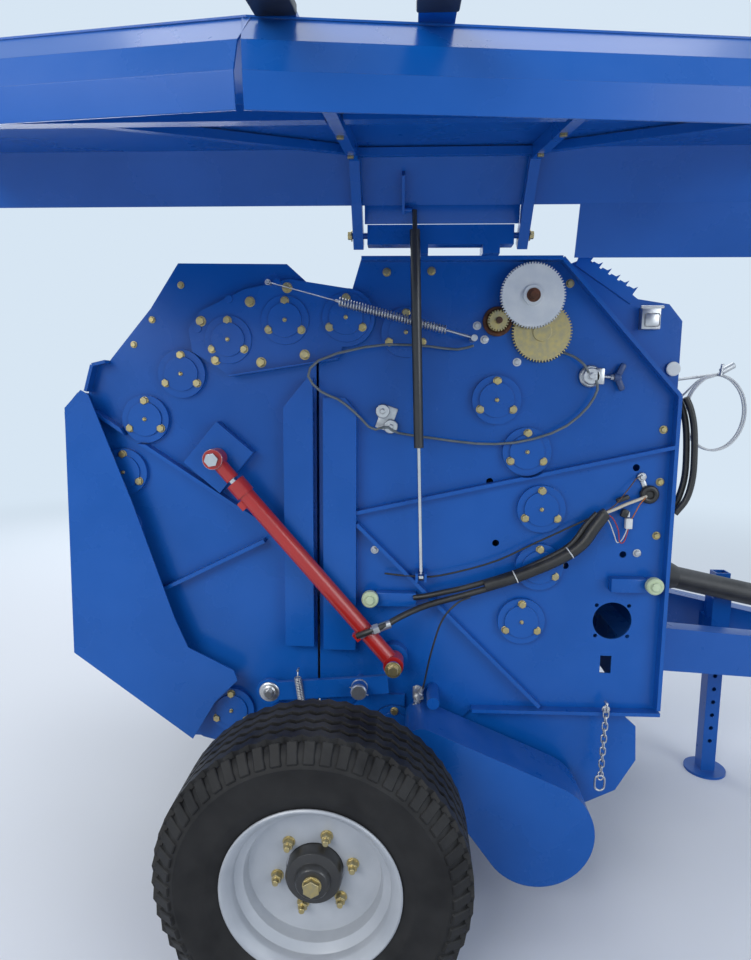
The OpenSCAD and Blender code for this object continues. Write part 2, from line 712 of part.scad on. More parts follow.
// Side boxes, end plates and cross tube of the pickup
module pickup_frame() {
    color("royalblue") {
        for (s = [-1, 1]) side(s) {
            difference() {
                flat(plate_out + 35, 185) drop2d(0);
                flat(plate_out + 39, 177) drop2d(4);
            }
            flat(plate_in - 16, 8) polygon([[300, 640], [330, 710], [380, 700], [560, 596], [990, 596], [1030, 560],
                                           [1037, 440], [975, 329], [880, 281], [600, 330], [430, 200],
                                           [410, 230], [390, 500]]);
            across(lift_pin, 40, -plate_out - 110, -plate_in + 30);
            across([reel_x, 300], 50, -plate_out - 40, -plate_in + 20);
        }
        across([440, 470], 60, -plate_in + 10, plate_in - 10);
    }
}

// Curved bands between the tines
module pickup_bands() {
    band_r = 176;
    n = tine_n + 1;
    pitch = (chamber_w - 60) / n;
    color("royalblue") {
        for (i = [0:n - 1]) translate([reel_x, -chamber_w / 2 + 30 + pitch * (i + 0.5), reel_z]) {
            rotate([90, 0, 0]) translate([0, 0, -20]) rotate([0, 0, -90]) rotate_extrude(angle = 180)
                translate([band_r, 0]) square([4, 40]);
            translate([-235, -20, band_r]) cube([236, 40, 4]);
            translate([-285, -20, -band_r - 4]) cube([286, 40, 4]);
        }
        translate([reel_x - 240, -plate_in + 16, reel_z + band_r - 26]) cube([30, chamber_w - 32, 30]);
        translate([reel_x - 290, -plate_in + 16, reel_z - band_r - 4]) cube([30, chamber_w - 32, 30]);
    }
}

module pickup_reel() {
    n = tine_n;
    pitch = (chamber_w - 60) / (n + 1);
    l = chamber_w - 80;
    color("dimgray") {
        across([reel_x, reel_z], 40, -plate_in + 16.3, plate_in - 16.3);
        for (y = [-l / 2, 0, l / 2 - 8]) across([reel_x, reel_z], 280, y, y + 8);
        for (k = [0:tine_bars - 1]) translate([reel_x, 0, reel_z]) rotate([0, k * 360 / tine_bars, 0]) {
            translate([115, -l / 2 + 2, 0]) rotate([-90, 0, 0]) cylinder(d = 30, h = l - 4);
            for (i = [0:n - 1]) translate([110, -chamber_w / 2 + 30 + pitch * (i + 1), 0])
                rotate([0, 90, 0]) cylinder(d = 8, h = tine_r - 112);
        }
    }
}

// Cross tube with rods that hold the crop down
module wind_guard() {
    color("silver") {
        across([985, 545], 48, -plate_in + 16, plate_in - 16);
        for (i = [0:8]) {
            y = (chamber_w - 168) * (i / 8 - 0.5);
            between([985, y, 545], [760, y, 655], 12);
        }
    }
}

place() side_plate(-1);  // side_plate_right
place() side_plate(1);  // side_plate_left
place() frame_posts(-1);  // frame_posts_right
place() frame_posts(1);  // frame_posts_left
place() cross_members();
place() net_box();
place() net_comb();
place() front_rollers();
place() white_gear();
place() plated_gear();
place() net_pinion();
place() net_linkage();
place() tension_spring();
place() latch(-1);  // latch_right
place() latch(1);  // latch_left
place() axle();
place() drawbar_beam(-1);  // drawbar_beam_right
place() drawbar_beam(1);  // drawbar_beam_left
place() drawbar_head();
place() gearbox();
place() drive_shaft();
place() jack_leg();
place() hoses();
place() drive_chain();
place() tailgate_side(-1);  // tailgate_side_right
place() tailgate_side(1);  // tailgate_side_left
place() tailgate_beams();
place() tailgate_rollers();
place() tailgate_guard(-1);  // tailgate_guard_right
place() tailgate_guard(1);  // tailgate_guard_left
place() tyre(-1);  // tyre_right
place() tyre(1);  // tyre_left
place() rim(-1);  // rim_right
place() rim(1);  // rim_left
place() cover_panel(-1);  // cover_panel_right
place() cover_panel(1);  // cover_panel_left
place() cover_arms(-1);  // cover_arms_right
place() cover_arms(1);  // cover_arms_left
place() strut_rod(-1);  // strut_rod_right
place() strut_rod(1);  // strut_rod_left
place() strut_tube(-1);  // strut_tube_right
place() strut_tube(1);  // strut_tube_left
place() cylinder_barrel(-1);  // cylinder_barrel_right
place() cylinder_barrel(1);  // cylinder_barrel_left
place() cylinder_rod(-1);  // cylinder_rod_right
place() cylinder_rod(1);  // cylinder_rod_left
place() pickup_frame();
place() pickup_bands();
place() pickup_reel();
place() wind_guard();
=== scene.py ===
import json
import math
import bmesh
import bpy
from mathutils import Matrix, Vector

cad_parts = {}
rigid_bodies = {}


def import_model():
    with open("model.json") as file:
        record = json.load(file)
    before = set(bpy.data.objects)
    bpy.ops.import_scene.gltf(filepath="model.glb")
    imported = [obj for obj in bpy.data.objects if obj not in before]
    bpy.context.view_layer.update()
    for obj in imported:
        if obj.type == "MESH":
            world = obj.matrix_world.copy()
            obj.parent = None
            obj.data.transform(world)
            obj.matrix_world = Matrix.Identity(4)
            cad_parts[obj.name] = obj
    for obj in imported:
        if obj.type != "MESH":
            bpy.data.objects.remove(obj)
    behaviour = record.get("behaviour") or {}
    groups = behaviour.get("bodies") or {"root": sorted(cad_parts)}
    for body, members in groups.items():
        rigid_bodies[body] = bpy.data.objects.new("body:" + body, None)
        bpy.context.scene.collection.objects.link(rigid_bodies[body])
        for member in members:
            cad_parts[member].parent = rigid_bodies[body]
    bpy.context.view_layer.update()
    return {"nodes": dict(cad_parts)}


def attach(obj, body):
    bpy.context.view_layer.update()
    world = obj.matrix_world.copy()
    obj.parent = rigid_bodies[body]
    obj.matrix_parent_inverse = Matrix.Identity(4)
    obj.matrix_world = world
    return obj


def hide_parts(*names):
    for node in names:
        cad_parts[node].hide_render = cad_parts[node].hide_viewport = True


for spare in list(bpy.data.objects):
    bpy.data.objects.remove(spare)
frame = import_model()
nodes = frame["nodes"]

# Viewpoint: a phone held 2.1 m from the right side plate, a little above the gears.
# The view is level with the cover, which is raised over the camera.
eye = bpy.data.cameras.new("viewpoint")
eye.sensor_width = 36.0
eye.lens = 24.397
viewpoint = bpy.data.objects.new("viewpoint", eye)
viewpoint.location = (-2.3397, -2.6758, 1.1645)
viewpoint.rotation_euler = (1.43380, -0.00733, 0.05141)
bpy.context.scene.collection.objects.link(viewpoint)
bpy.context.scene.camera = viewpoint
bpy.context.scene.view_settings.view_transform = "Standard"

# Studio: a pale floor under the tyres, a pale surround and large soft lamps.
# The surround shows pale to the eye and in reflections, and lights the machine evenly.
under_wheels = (-2.6, 0, -0.5)
pale_sky = (0.68, 0.79, 0.90, 1)


def shader_node(tree, kind, inputs=None, **options):
    """A node with its options set, and each input given a value or joined to a socket."""
    made = tree.nodes.new("ShaderNode" + kind)
    for option, value in options.items():
        setattr(made, option, value)
    for label, value in (inputs or {}).items():
        if isinstance(value, bpy.types.NodeSocket):
            tree.links.new(value, made.inputs[label])
        else:
            made.inputs[label].default_value = value
    return made


floor_mesh = bmesh.new()
bmesh.ops.create_circle(floor_mesh, cap_ends=True, segments=64, radius=60.0)
floor_data = bpy.data.meshes.new("studio_floor")
floor_mesh.to_mesh(floor_data)
floor_mesh.free()
floor_data.transform(Matrix.Translation(under_wheels))
floor = bpy.data.objects.new("studio_floor", floor_data)
bpy.context.scene.collection.objects.link(floor)
floor_paint = bpy.data.materials.new("studio_floor")
floor_paint.use_nodes = True
tree = floor_paint.node_tree
cloud = shader_node(tree, "TexNoise", {"Scale": 1.5})
tone = shader_node(tree, "Mix", {"A": (0.72, 0.76, 0.82, 1), "B": (0.77, 0.80, 0.85, 1),
                                 "Factor": cloud.outputs["Fac"]}, data_type="RGBA")
matt = tree.nodes["Principled BSDF"]
matt.inputs["Roughness"].default_value = 0.9
tree.links.new(tone.outputs["Result"], matt.inputs["Base Color"])
place = shader_node(tree, "TexCoord")
away = shader_node(tree, "VectorMath", {0: place.outputs["Object"], 1: under_wheels}, operation="DISTANCE")
fade = shader_node(tree, "MapRange", {"Value": away.outputs["Value"], "From Min": 2.2, "From Max": 9.0},
                   interpolation_type="SMOOTHSTEP")
haze = shader_node(tree, "Emission", {"Color": pale_sky})
faded = shader_node(tree, "MixShader", {"Fac": fade.outputs["Result"], 1: matt.outputs[0], 2: haze.outputs[0]})
tree.links.new(faded.outputs[0], tree.nodes["Material Output"].inputs["Surface"])
floor_data.materials.append(floor_paint)

surround = bpy.data.worlds.new("surround")
surround.use_nodes = True
bpy.context.scene.world = surround
tree = surround.node_tree
lit = tree.nodes["Background"]
lit.inputs["Color"].default_value = (0.80, 0.89, 1.0, 1)
lit.inputs["Strength"].default_value = 0.42
pale = shader_node(tree, "Background", {"Color": pale_sky, "Strength": 1.0})
ray = shader_node(tree, "LightPath")
seen = shader_node(tree, "Math", {0: ray.outputs["Is Camera Ray"], 1: ray.outputs["Is Transmission Ray"]},
                   operation="MAXIMUM")
shown = shader_node(tree, "Math", {0: seen.outputs[0], 1: ray.outputs["Is Glossy Ray"]}, operation="MAXIMUM")
choice = shader_node(tree, "MixShader", {"Fac": shown.outputs[0], 1: lit.outputs[0], 2: pale.outputs[0]})
tree.links.new(choice.outputs[0], tree.nodes["World Output"].inputs["Surface"])

for name, at, aim, size, power, tint in (
        ("key_lamp", (-5.5, -5.5, 3.6), (-2.4, -0.5, 0.5), (4.0, 3.0), 215, (1.0, 0.97, 0.92)),
        ("front_lamp", (2.5, -5.0, 2.6), (-1.9, -0.4, 0.4), (3.5, 3.5), 130, (0.94, 0.97, 1.0)),
        ("top_lamp", (-2.3, 1.5, 6.5), (-2.3, 0.0, 0.5), (6.0, 5.0), 190, (0.97, 0.98, 1.0)),
        ("rear_lamp", (-6.0, 5.5, 3.0), (-2.4, 0.3, 0.5), (4.0, 4.0), 150, (0.95, 0.97, 1.0))):
    softbox = bpy.data.lights.new(name, "AREA")
    softbox.shape = "RECTANGLE"
    softbox.size, softbox.size_y = size
    softbox.energy = power
    softbox.color = tint
    lamp = bpy.data.objects.new(name, softbox)
    lamp.location = at
    lamp.rotation_euler = (Vector(aim) - Vector(at)).to_track_quat("-Z", "Y").to_euler()
    bpy.context.scene.collection.objects.link(lamp)


# Hoses and cables: rubber hoses with crimped ends from the wiring and valve block to the
# tailgate cylinder, a sheathed brake cable, sensor leads and the bundle down the front.
def group_with(name, inputs, outputs):
    """An empty shader node group with its own sockets."""
    tree = bpy.data.node_groups.new(name, "ShaderNodeTree")
    for label, value in inputs:
        tree.interface.new_socket(label, in_out="INPUT", socket_type="NodeSocketFloat").default_value = value
    for label, kind in outputs:
        tree.interface.new_socket(label, in_out="OUTPUT", socket_type=kind)
    return tree, tree.nodes.new("NodeGroupInput"), tree.nodes.new("NodeGroupOutput")


def rubbed_edges():
    """A broken line along each edge, and the normal of the rounded edge."""
    tree, given, out = group_with("rubbed_edges", [("Width", 0.002), ("Breakup", 60.0)],
                                  [("Mask", "NodeSocketFloat"), ("Normal", "NodeSocketVector")])
    rounded = shader_node(tree, "Bevel", {"Radius": given.outputs["Width"]}, samples=4)
    true = shader_node(tree, "NewGeometry")
    turn = shader_node(tree, "VectorMath", {0: rounded.outputs["Normal"], 1: true.outputs["Normal"]},
                       operation="DOT_PRODUCT")
    edge = shader_node(tree, "MapRange", {"Value": turn.outputs["Value"], "From Min": 0.99, "From Max": 0.80})
    place = shader_node(tree, "TexCoord")
    chips = shader_node(tree, "TexNoise", {"Vector": place.outputs["Object"], "Scale": given.outputs["Breakup"],
                                           "Detail": 5.0})
    cut = shader_node(tree, "MapRange", {"Value": chips.outputs["Fac"], "From Min": 0.50, "From Max": 0.62})
    both = shader_node(tree, "Math", {0: edge.outputs["Result"], 1: cut.outputs["Result"]},
                       operation="MULTIPLY")
    tree.links.new(both.outputs["Value"], out.inputs["Mask"])
    tree.links.new(rounded.outputs["Normal"], out.inputs["Normal"])
    return tree


def settled_dust():
    """Patches of dust, most on faces that look up and little on upright ones."""
    tree, given, out = group_with("settled_dust", [("Amount", 0.2), ("Patch", 6.0)],
                                  [("Mask", "NodeSocketFloat")])
    true = shader_node(tree, "NewGeometry")
    up = shader_node(tree, "SeparateXYZ", {0: true.outputs["Normal"]})
    level = shader_node(tree, "MapRange", {"Value": up.outputs["Z"], "From Min": 0.0, "From Max": 1.0,
                                           "To Min": 0.12})
    place = shader_node(tree, "TexCoord")
    patch = shader_node(tree, "TexNoise", {"Vector": place.outputs["Object"], "Scale": given.outputs["Patch"],
                                           "Detail": 8.0, "Roughness": 0.65})
    thin = shader_node(tree, "MapRange", {"Value": patch.outputs["Fac"], "From Min": 0.35, "From Max": 0.75})
    lying = shader_node(tree, "Math", {0: level.outputs["Result"], 1: thin.outputs["Result"]},
                        operation="MULTIPLY")
    share = shader_node(tree, "Math", {0: lying.outputs["Value"], 1: given.outputs["Amount"]},
                        operation="MULTIPLY")
    tree.links.new(share.outputs["Value"], out.inputs["Mask"])
    return tree


edge_group = rubbed_edges()
dust_group = settled_dust()
dust_grey = (0.42, 0.43, 0.43, 1)


def coated(name, colour, second, rough, under=None, under_metal=1.0, rub=0.0, width=0.002, dust=0.0, metal=0.0,
           coat=0.0, mottle=9.0, grain=400.0, depth=0.00005, breakup=60.0, shine=0.5):
    """A finish with two tones, rubbed edges, dust, uneven gloss and a fine surface."""
    paint = bpy.data.materials.new(name)
    paint.use_nodes = True
    tree = paint.node_tree
    shader = tree.nodes["Principled BSDF"]
    shader.inputs["Coat Weight"].default_value = coat
    shader.inputs["Specular IOR Level"].default_value = shine
    shader.inputs["Coat Roughness"].default_value = 0.12
    place = shader_node(tree, "TexCoord").outputs["Object"]
    cloud = shader_node(tree, "TexNoise", {"Vector": place, "Scale": mottle, "Detail": 6.0}).outputs["Fac"]
    spread = shader_node(tree, "MapRange", {"Value": cloud, "From Min": 0.35, "From Max": 0.65})
    tone = shader_node(tree, "Mix", {"A": (*colour, 1), "B": (*second, 1), "Factor": spread.outputs["Result"]},
                       data_type="RGBA")
    top = tone.outputs["Result"]
    gloss = shader_node(tree, "MapRange", {"Value": cloud, "To Min": rough * 0.8, "To Max": min(1.0,
                                                                                                rough * 1.3)})
    sheen = gloss.outputs["Result"]
    edges = shader_node(tree, "Group", node_tree=edge_group)
    edges.inputs["Width"].default_value = width
    edges.inputs["Breakup"].default_value = breakup
    if rub > 0:
        share = shader_node(tree, "Math", {0: edges.outputs["Mask"], 1: rub},
                            operation="MULTIPLY").outputs["Value"]
        top = shader_node(tree, "Mix", {"Factor": share, "A": top, "B": (*(under or colour), 1)},
                          data_type="RGBA").outputs["Result"]
        metallic = shader_node(tree, "MapRange", {"Value": share, "To Min": metal, "To Max": under_metal})
        tree.links.new(metallic.outputs["Result"], shader.inputs["Metallic"])
    else:
        shader.inputs["Metallic"].default_value = metal
    if dust > 0:
        fallen = shader_node(tree, "Group", {"Amount": dust}, node_tree=dust_group).outputs["Mask"]
        top = shader_node(tree, "Mix", {"Factor": fallen, "A": top, "B": dust_grey},
                          data_type="RGBA").outputs["Result"]
        sheen = shader_node(tree, "Math", {0: sheen, 1: fallen}, operation="ADD",
                            use_clamp=True).outputs["Value"]
    tree.links.new(top, shader.inputs["Base Color"])
    tree.links.new(sheen, shader.inputs["Roughness"])
    fine = shader_node(tree, "TexNoise", {"Vector": place, "Scale": grain, "Detail": 3.0})
    relief = shader_node(tree, "Bump", {"Strength": 1.0, "Distance": depth, "Height": fine.outputs["Fac"],
                                        "Normal": edges.outputs["Normal"]})
    tree.links.new(relief.outputs["Normal"], shader.inputs["Normal"])
    return paint


def spot(x, y, z):
    """A place from millimetres beside and above the ground under the chamber."""
    return Vector((x / 1000 - 2.6, y / 1000, z / 1000 - 0.5))


def led(keys, count):
    """Points of one smooth run through the given places."""
    given = [spot(*key) for key in keys]
    given = [2 * given[0] - given[1]] + given + [2 * given[-1] - given[-2]]
    spans, run = len(given) - 3, []
    for i in range(count):
        t = i / (count - 1) * spans
        k = min(int(t), spans - 1)
        a, b, c, d = given[k:k + 4]
        f = t - k
        run.append(0.5 * (2 * b + (c - a) * f + (2 * a - 5 * b + 4 * c - d) * f * f
                          + (3 * b - a - 3 * c + d) * f ** 3))
    return run


def lead(name, keys, count, thick, paint):
    """A round cable or hose along a smooth run, riding on the frame."""
    run = led(keys, count)
    data = bpy.data.curves.new(name, "CURVE")
    data.dimensions = "3D"
    data.bevel_depth = thick / 2
    data.bevel_resolution = 3
    data.use_fill_caps = True
    line = data.splines.new("POLY")
    line.points.add(count - 1)
    for point, at in zip(line.points, run):
        point.co = (*at, 1)
    data.materials.append(paint)
    made = bpy.data.objects.new(name, data)
    bpy.context.scene.collection.objects.link(made)
    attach(made, "frame")
    return made


hose_rubber = coated("hose_rubber", (0.012, 0.012, 0.012), (0.018, 0.018, 0.018), 0.38, mottle=30.0,
                     grain=700.0, depth=0.0001, dust=0.10)
cable_sheath = coated("cable_sheath", (0.10, 0.12, 0.13), (0.14, 0.16, 0.17), 0.35, mottle=30.0, grain=700.0)
white_sheath = coated("white_sheath", (0.60, 0.62, 0.63), (0.50, 0.52, 0.54), 0.4, mottle=30.0, grain=700.0)
lower_hose = lead("cylinder_hose", [(868, -660, 1285), (838, -661, 1245), (800, -662, 1185), (740, -662, 1138),
                                    (620, -662, 1080), (462, -662, 1026), (330, -664, 986), (250, -690, 958),
                                    (195, -722, 936), (140, -728, 914), (108, -716, 897)],
                  36, 0.020, hose_rubber)
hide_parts("hoses")
lead("return_hose", [(850, -648, 1290), (818, -648, 1252), (780, -650, 1196), (725, -652, 1156),
                     (612, -652, 1099), (462, -655, 1048), (380, -656, 1027), (320, -652, 1011),
                     (284, -644, 1003)], 32, 0.018, hose_rubber)
lead("hose_sleeve", [(872, -656, 1290), (842, -656, 1246), (806, -656, 1192), (740, -656, 1144),
                     (620, -657, 1089), (508, -660, 1052)], 32, 0.038, hose_rubber)
lead("brake_cable", [(452, -662, 1800), (400, -640, 1790), (300, -650, 1800), (160, -668, 1800),
                     (0, -690, 1760), (-47, -690, 1710), (-10, -680, 1660), (46, -668, 1634), (100, -655, 1590),
                     (146, -650, 1545), (193, -648, 1552), (224, -642, 1534), (327, -640, 1519),
                     (481, -642, 1502), (604, -645, 1510), (724, -645, 1548), (800, -642, 1610),
                     (833, -640, 1668), (828, -640, 1700)], 40, 0.008, cable_sheath)
lead("brake_cable_front", [(805, -640, 1722), (788, -640, 1748), (760, -634, 1770), (731, -620, 1783)],
     15, 0.008, cable_sheath)
lead("lamp_lead", [(189, -640, 1080), (270, -642, 1074), (359, -646, 1077), (531, -642, 1124),
                   (665, -642, 1190), (810, -640, 1262), (852, -636, 1280)], 24, 0.006, hose_rubber)
lead("sensor_lead", [(462, -680, 1020), (420, -686, 1001), (374, -686, 943), (342, -684, 835), (322, -668, 724),
                     (314, -660, 690)], 22, 0.006, hose_rubber)

# Loose wires of the bale control: they leave the hose sleeve for a rubber grommet and two
# plugs on the side plate, and the white cable for the tractor hangs in a coil on its hook.
for name, colour, thick, keys in (
        ("wire_loom", (0.55, 0.50, 0.40), 0.010,
         [(872, -648, 1290), (900, -644, 1300), (940, -640, 1318), (985, -634, 1335), (1006, -624, 1342)]),
        ("wire_white", (0.60, 0.60, 0.58), 0.0035,
         [(870, -650, 1286), (890, -646, 1262), (908, -642, 1222), (920, -638, 1196), (936, -634, 1204),
          (950, -628, 1232), (955, -622, 1246)]),
        ("wire_red", (0.35, 0.03, 0.02), 0.0035,
         [(868, -652, 1290), (896, -650, 1278), (918, -646, 1240), (926, -642, 1200), (940, -636, 1196),
          (952, -628, 1220), (958, -622, 1244)]),
        ("wire_orange", (0.45, 0.13, 0.02), 0.0035,
         [(1000, -636, 1340), (984, -636, 1318), (974, -634, 1296), (966, -630, 1276), (960, -624, 1264)]),
        ("wire_brown", (0.10, 0.05, 0.03), 0.0035,
         [(874, -646, 1292), (908, -642, 1318), (946, -636, 1366), (972, -626, 1398), (990, -618, 1404)])):
    lead(name, keys, 24, thick, coated(name, colour, colour, 0.4, mottle=60.0, grain=900.0))
coil_wide, coil_high, coil_pitch = 96, 122, 2.6
coil = [(1254 + coil_wide * math.cos(a), -482 + coil_pitch * a, 1600 + coil_high * math.sin(a))
        for a in [2.1 - i * 0.5236 for i in range(25)]]
lead("tractor_cable", [(1094, -470, 1600), (1120, -473, 1622), (1160, -476, 1660)] + coil
     + [(1236, -512, 1718), (1262, -500, 1732)], 160, 0.007, white_sheath)
for name, away, deep in (("front_hose_outer", 8, -622), ("front_hose_inner", -8, -602)):
    lead(name, [(1098 + away, deep, 1650), (1115 + away, deep, 1615), (1129 + away, deep, 1560),
                (1136 + away, deep, 1480), (1136 + away, deep, 1400), (1122 + away, deep, 1335),
                (1098, deep, 1296 - away)], 24, 0.020, hose_rubber)


# Sheet steel of the frame and tailgate: plates of 6 mm, laser cut, folded and welded,
# with gloss enamel sprayed on. The film is thin on edges, and a little dust lies on top.
def finish(node, *paints):
    """Gives a node's slots these finishes in turn."""
    slots = nodes[node].material_slots
    for i in range(len(slots)):
        slots[i].link = "OBJECT"
        slots[i].material = paints[min(i, len(paints) - 1)]


def piece(name, shape, paint, body, angle=35):
    """Turns a finished shape into a piece of the machine that rides on a body."""
    data = bpy.data.meshes.new(name)
    shape.to_mesh(data)
    shape.free()
    data.materials.append(paint)
    for face in data.polygons:
        face.use_smooth = True
    data.set_sharp_from_angle(angle=math.radians(angle))
    made = bpy.data.objects.new(name, data)
    bpy.context.scene.collection.objects.link(made)
    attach(made, body)
    return made


blue_enamel = coated("blue_enamel", (0.002, 0.080, 0.36), (0.004, 0.094, 0.41), 0.26, under=(0.16, 0.17, 0.18),
                     rub=0.35, width=0.0016, dust=0.08, coat=0.08, mottle=3.0, grain=260.0, depth=0.00004,
                     shine=0.28)
for name in ("side_plate_right", "side_plate_left", "frame_posts_right", "frame_posts_left", "cross_members",
             "tailgate_side_right", "tailgate_side_left", "tailgate_beams", "tailgate_guard_right",
             "tailgate_guard_left", "net_box", "net_comb"):
    finish(name, blue_enamel)

# Bolts of the bearing housings: hexagon heads of 21 mm over flat washers, yellow
# passivated zinc. Three hold each roller's cap, with a grease nipple between them.
yellow_zinc = coated("yellow_zinc", (0.50, 0.40, 0.17), (0.38, 0.33, 0.20), 0.30, metal=0.85, mottle=70.0,
                     grain=900.0, depth=0.00003, dust=0.1)
zinc = coated("zinc", (0.56, 0.57, 0.58), (0.44, 0.45, 0.47), 0.32, metal=0.9, mottle=50.0, grain=800.0,
              depth=0.00003, dust=0.08)


def moved(place):
    return Matrix.Translation(place)


def tilted(degrees, axis):
    return Matrix.Rotation(math.radians(degrees), 4, axis)


def along(way):
    """Turns what stands up so that it points a way."""
    return way.to_track_quat("Z", "Y").to_matrix().to_4x4()


def facing(at, out=-1):
    """Turns a bar that stands up so that it points out of the side at a place."""
    return moved(at) @ tilted(-90 * out, "X")


def bevelled(part, edges, width, steps=1):
    bmesh.ops.bevel(part, geom=edges, offset=width, offset_type="OFFSET", segments=steps, profile=0.5,
                    affect="EDGES", material=-1)


def add(shape, part, *places):
    """Copies a finished small part into a shape at each place, and frees it."""
    copy = bpy.data.meshes.new("copy")
    part.to_mesh(copy)
    part.free()
    for place in places:
        copy.transform(place)
        shape.from_mesh(copy)
        copy.transform(place.inverted())
    bpy.data.meshes.remove(copy)


def turned(radius, high, sides=24, edge=0.0, top=None):
    """A round or many-sided bar that stands on the origin, with its upper edge bevelled, in metres."""
    part = bmesh.new()
    bmesh.ops.create_cone(part, cap_ends=True, segments=sides, radius1=radius, depth=high,
                          radius2=radius if top is None else top)
    bmesh.ops.translate(part, vec=(0, 0, high / 2), verts=part.verts)
    if edge > 0:
        rim = [e for e in part.edges if all(abs(v.co.z - high) < 1e-6 for v in e.verts)]
        bevelled(part, rim, edge)
    return part


def hex_bolts(shape, places, flats=19.0, high=8.0, washer=26.0, out=-1):
    """Bolt heads on their washers, on a face that looks along y."""
    spots = [facing(at, out) for at in places]
    add(shape, turned(washer / 2000, 0.002, 24), *spots)
    add(shape, turned(flats / math.sqrt(3) / 1000, 0.002 + high / 1000, 6, 0.0009), *spots)


plate_face, cap_face, hinge_plate_face, hinge_cap_face = 610, 626, 636, 642
nipple_out, bolts_at = 6, (90, 210, 330)
ring_r, chamber_z, hinge_angle, ring_step = 690.0, 1198.0, 84.72, 15.72
front_ring = [-23.3 + ring_step * i for i in range(5)] + [hinge_angle - ring_step, hinge_angle + 12 * ring_step,
                                                          hinge_angle + 13 * ring_step]
gate_ring = [hinge_angle + ring_step * i for i in range(1, 12)]


def round_from(x, z, radius, degrees):
    """A point at an angle on a circle of the side view."""
    return x + radius * math.cos(math.radians(degrees)), z + radius * math.sin(math.radians(degrees))


def housing_bolts(shape, angles, side, face, flats):
    """Three bolts and a grease nipple for each roller's housing."""
    centres = [round_from(0, chamber_z, ring_r, a) for a in angles]
    heads = [round_from(x, z, 58, t) for x, z in centres for t in bolts_at]
    hex_bolts(shape, [spot(x, side * face, z) for x, z in heads], flats=flats, high=9.0, washer=27.0, out=side)
    hex_bolts(shape, [spot(x, side * (face + nipple_out), z) for x, z in centres], flats=9.0, high=7.0,
              washer=13.0, out=side)


for label, side in (("right", -1), ("left", 1)):
    for name, angles, body in (("cap_bolts_front_", front_ring, "frame"),
                               ("cap_bolts_gate_", gate_ring[2:], "tailgate")):
        shape = bmesh.new()
        housing_bolts(shape, angles, side, cap_face, 21.0)
        piece(name + label, shape, yellow_zinc, body)

# Hinge plate of the tailgate and roof edge: larger bolts hold the plate that carries the
# hinge, and small ones hold the roof sheets and the net tray's end plates.
for label, side in (("right", -1), ("left", 1)):
    shape = bmesh.new()
    housing_bolts(shape, (hinge_angle, *gate_ring[:2]), side, hinge_cap_face, 19.0)
    for places, face, flats, high, washer in (
            (((-389, 1873), (-234, 1932), (-118, 1974), (-345, 1755), (-202, 1748), (-65, 1772)),
             hinge_plate_face, 22.0, 10.0, 32.0),
            (((-458, 1986), (-554, 1880), (-616, 1803)), plate_face, 15.0, 7.0, 22.0)):
        hex_bolts(shape, [spot(x, side * face, z) for x, z in places], flats=flats, high=high, washer=washer,
                  out=side)
    piece("hinge_plate_bolts_" + label, shape, yellow_zinc, "tailgate")
    shape = bmesh.new()
    add(shape, turned(0.026, 0.003, 32, 0.0008), facing(spot(222, side * 742, 799), side))
    hex_bolts(shape, [spot(222, side * 745, 799)], flats=30.0, high=9.0, washer=40.0, out=side)
    places = ((186, 2024), (323, 2027), (743, 1990), (1050, 1550), (1050, 1386), (1050, 1214), (520, 1905))
    hex_bolts(shape, [spot(x, side * plate_face, z) for x, z in places], flats=17.0, high=8.0, washer=26.0,
              out=side)
    piece("roof_bolts_" + label, shape, yellow_zinc, "frame")

# Chamber rollers: tubes with eight welded ribs on plain shafts, rolled steel that the
# crop polishes on the ribs and leaves dull between them.
roller_steel = coated("roller_steel", (0.20, 0.205, 0.21), (0.13, 0.135, 0.14), 0.42, metal=0.8,
                      under=(0.55, 0.56, 0.57), rub=0.9, width=0.004, mottle=14.0, grain=300.0, depth=0.0001,
                      dust=0.3)
finish("front_rollers", roller_steel)
finish("tailgate_rollers", roller_steel)

# Net drive: a moulded nylon gear over a passivated steel gear, driven by a small pinion
# that runs in a rusty ring. All stand on pins in the side plate.
white_nylon = coated("white_nylon", (0.68, 0.70, 0.70), (0.60, 0.63, 0.65), 0.45, dust=0.12, mottle=25.0,
                     grain=500.0, depth=0.00004)
finish("white_gear", white_nylon, zinc)
finish("plated_gear", yellow_zinc)
rusty_steel = coated("rusty_steel", (0.16, 0.055, 0.025), (0.07, 0.035, 0.022), 0.75, mottle=40.0, grain=700.0,
                     depth=0.0002, metal=0.2)
dark_steel = coated("dark_steel", (0.10, 0.10, 0.105), (0.06, 0.06, 0.065), 0.45, metal=0.8, mottle=30.0,
                    grain=500.0, depth=0.0001, dust=0.2)
finish("net_pinion", yellow_zinc)
finish("latch_right", blue_enamel, zinc)
finish("latch_left", blue_enamel, zinc)


# Net brake linkage: cable pulleys in a zinc bracket, a cable adjuster with a wheel and
# a cast wing on its screw, a folded bracket on the tray and the pads of the cover.
def slab(long, wide, high, edge=0.0015):
    """A folded or cast block about its middle, in millimetres, with its edges broken."""
    part = bmesh.new()
    bmesh.ops.create_cube(part, size=1.0)
    bmesh.ops.scale(part, vec=(long / 1000, wide / 1000, high / 1000), verts=part.verts)
    bevelled(part, part.edges, edge, steps=2)
    return part


def rod(shape, start, end, thick, sides=16):
    """A round bar between two places, in metres."""
    way = end - start
    add(shape, turned(thick / 2, way.length, sides, min(0.001, thick / 8)), moved(start) @ along(way))


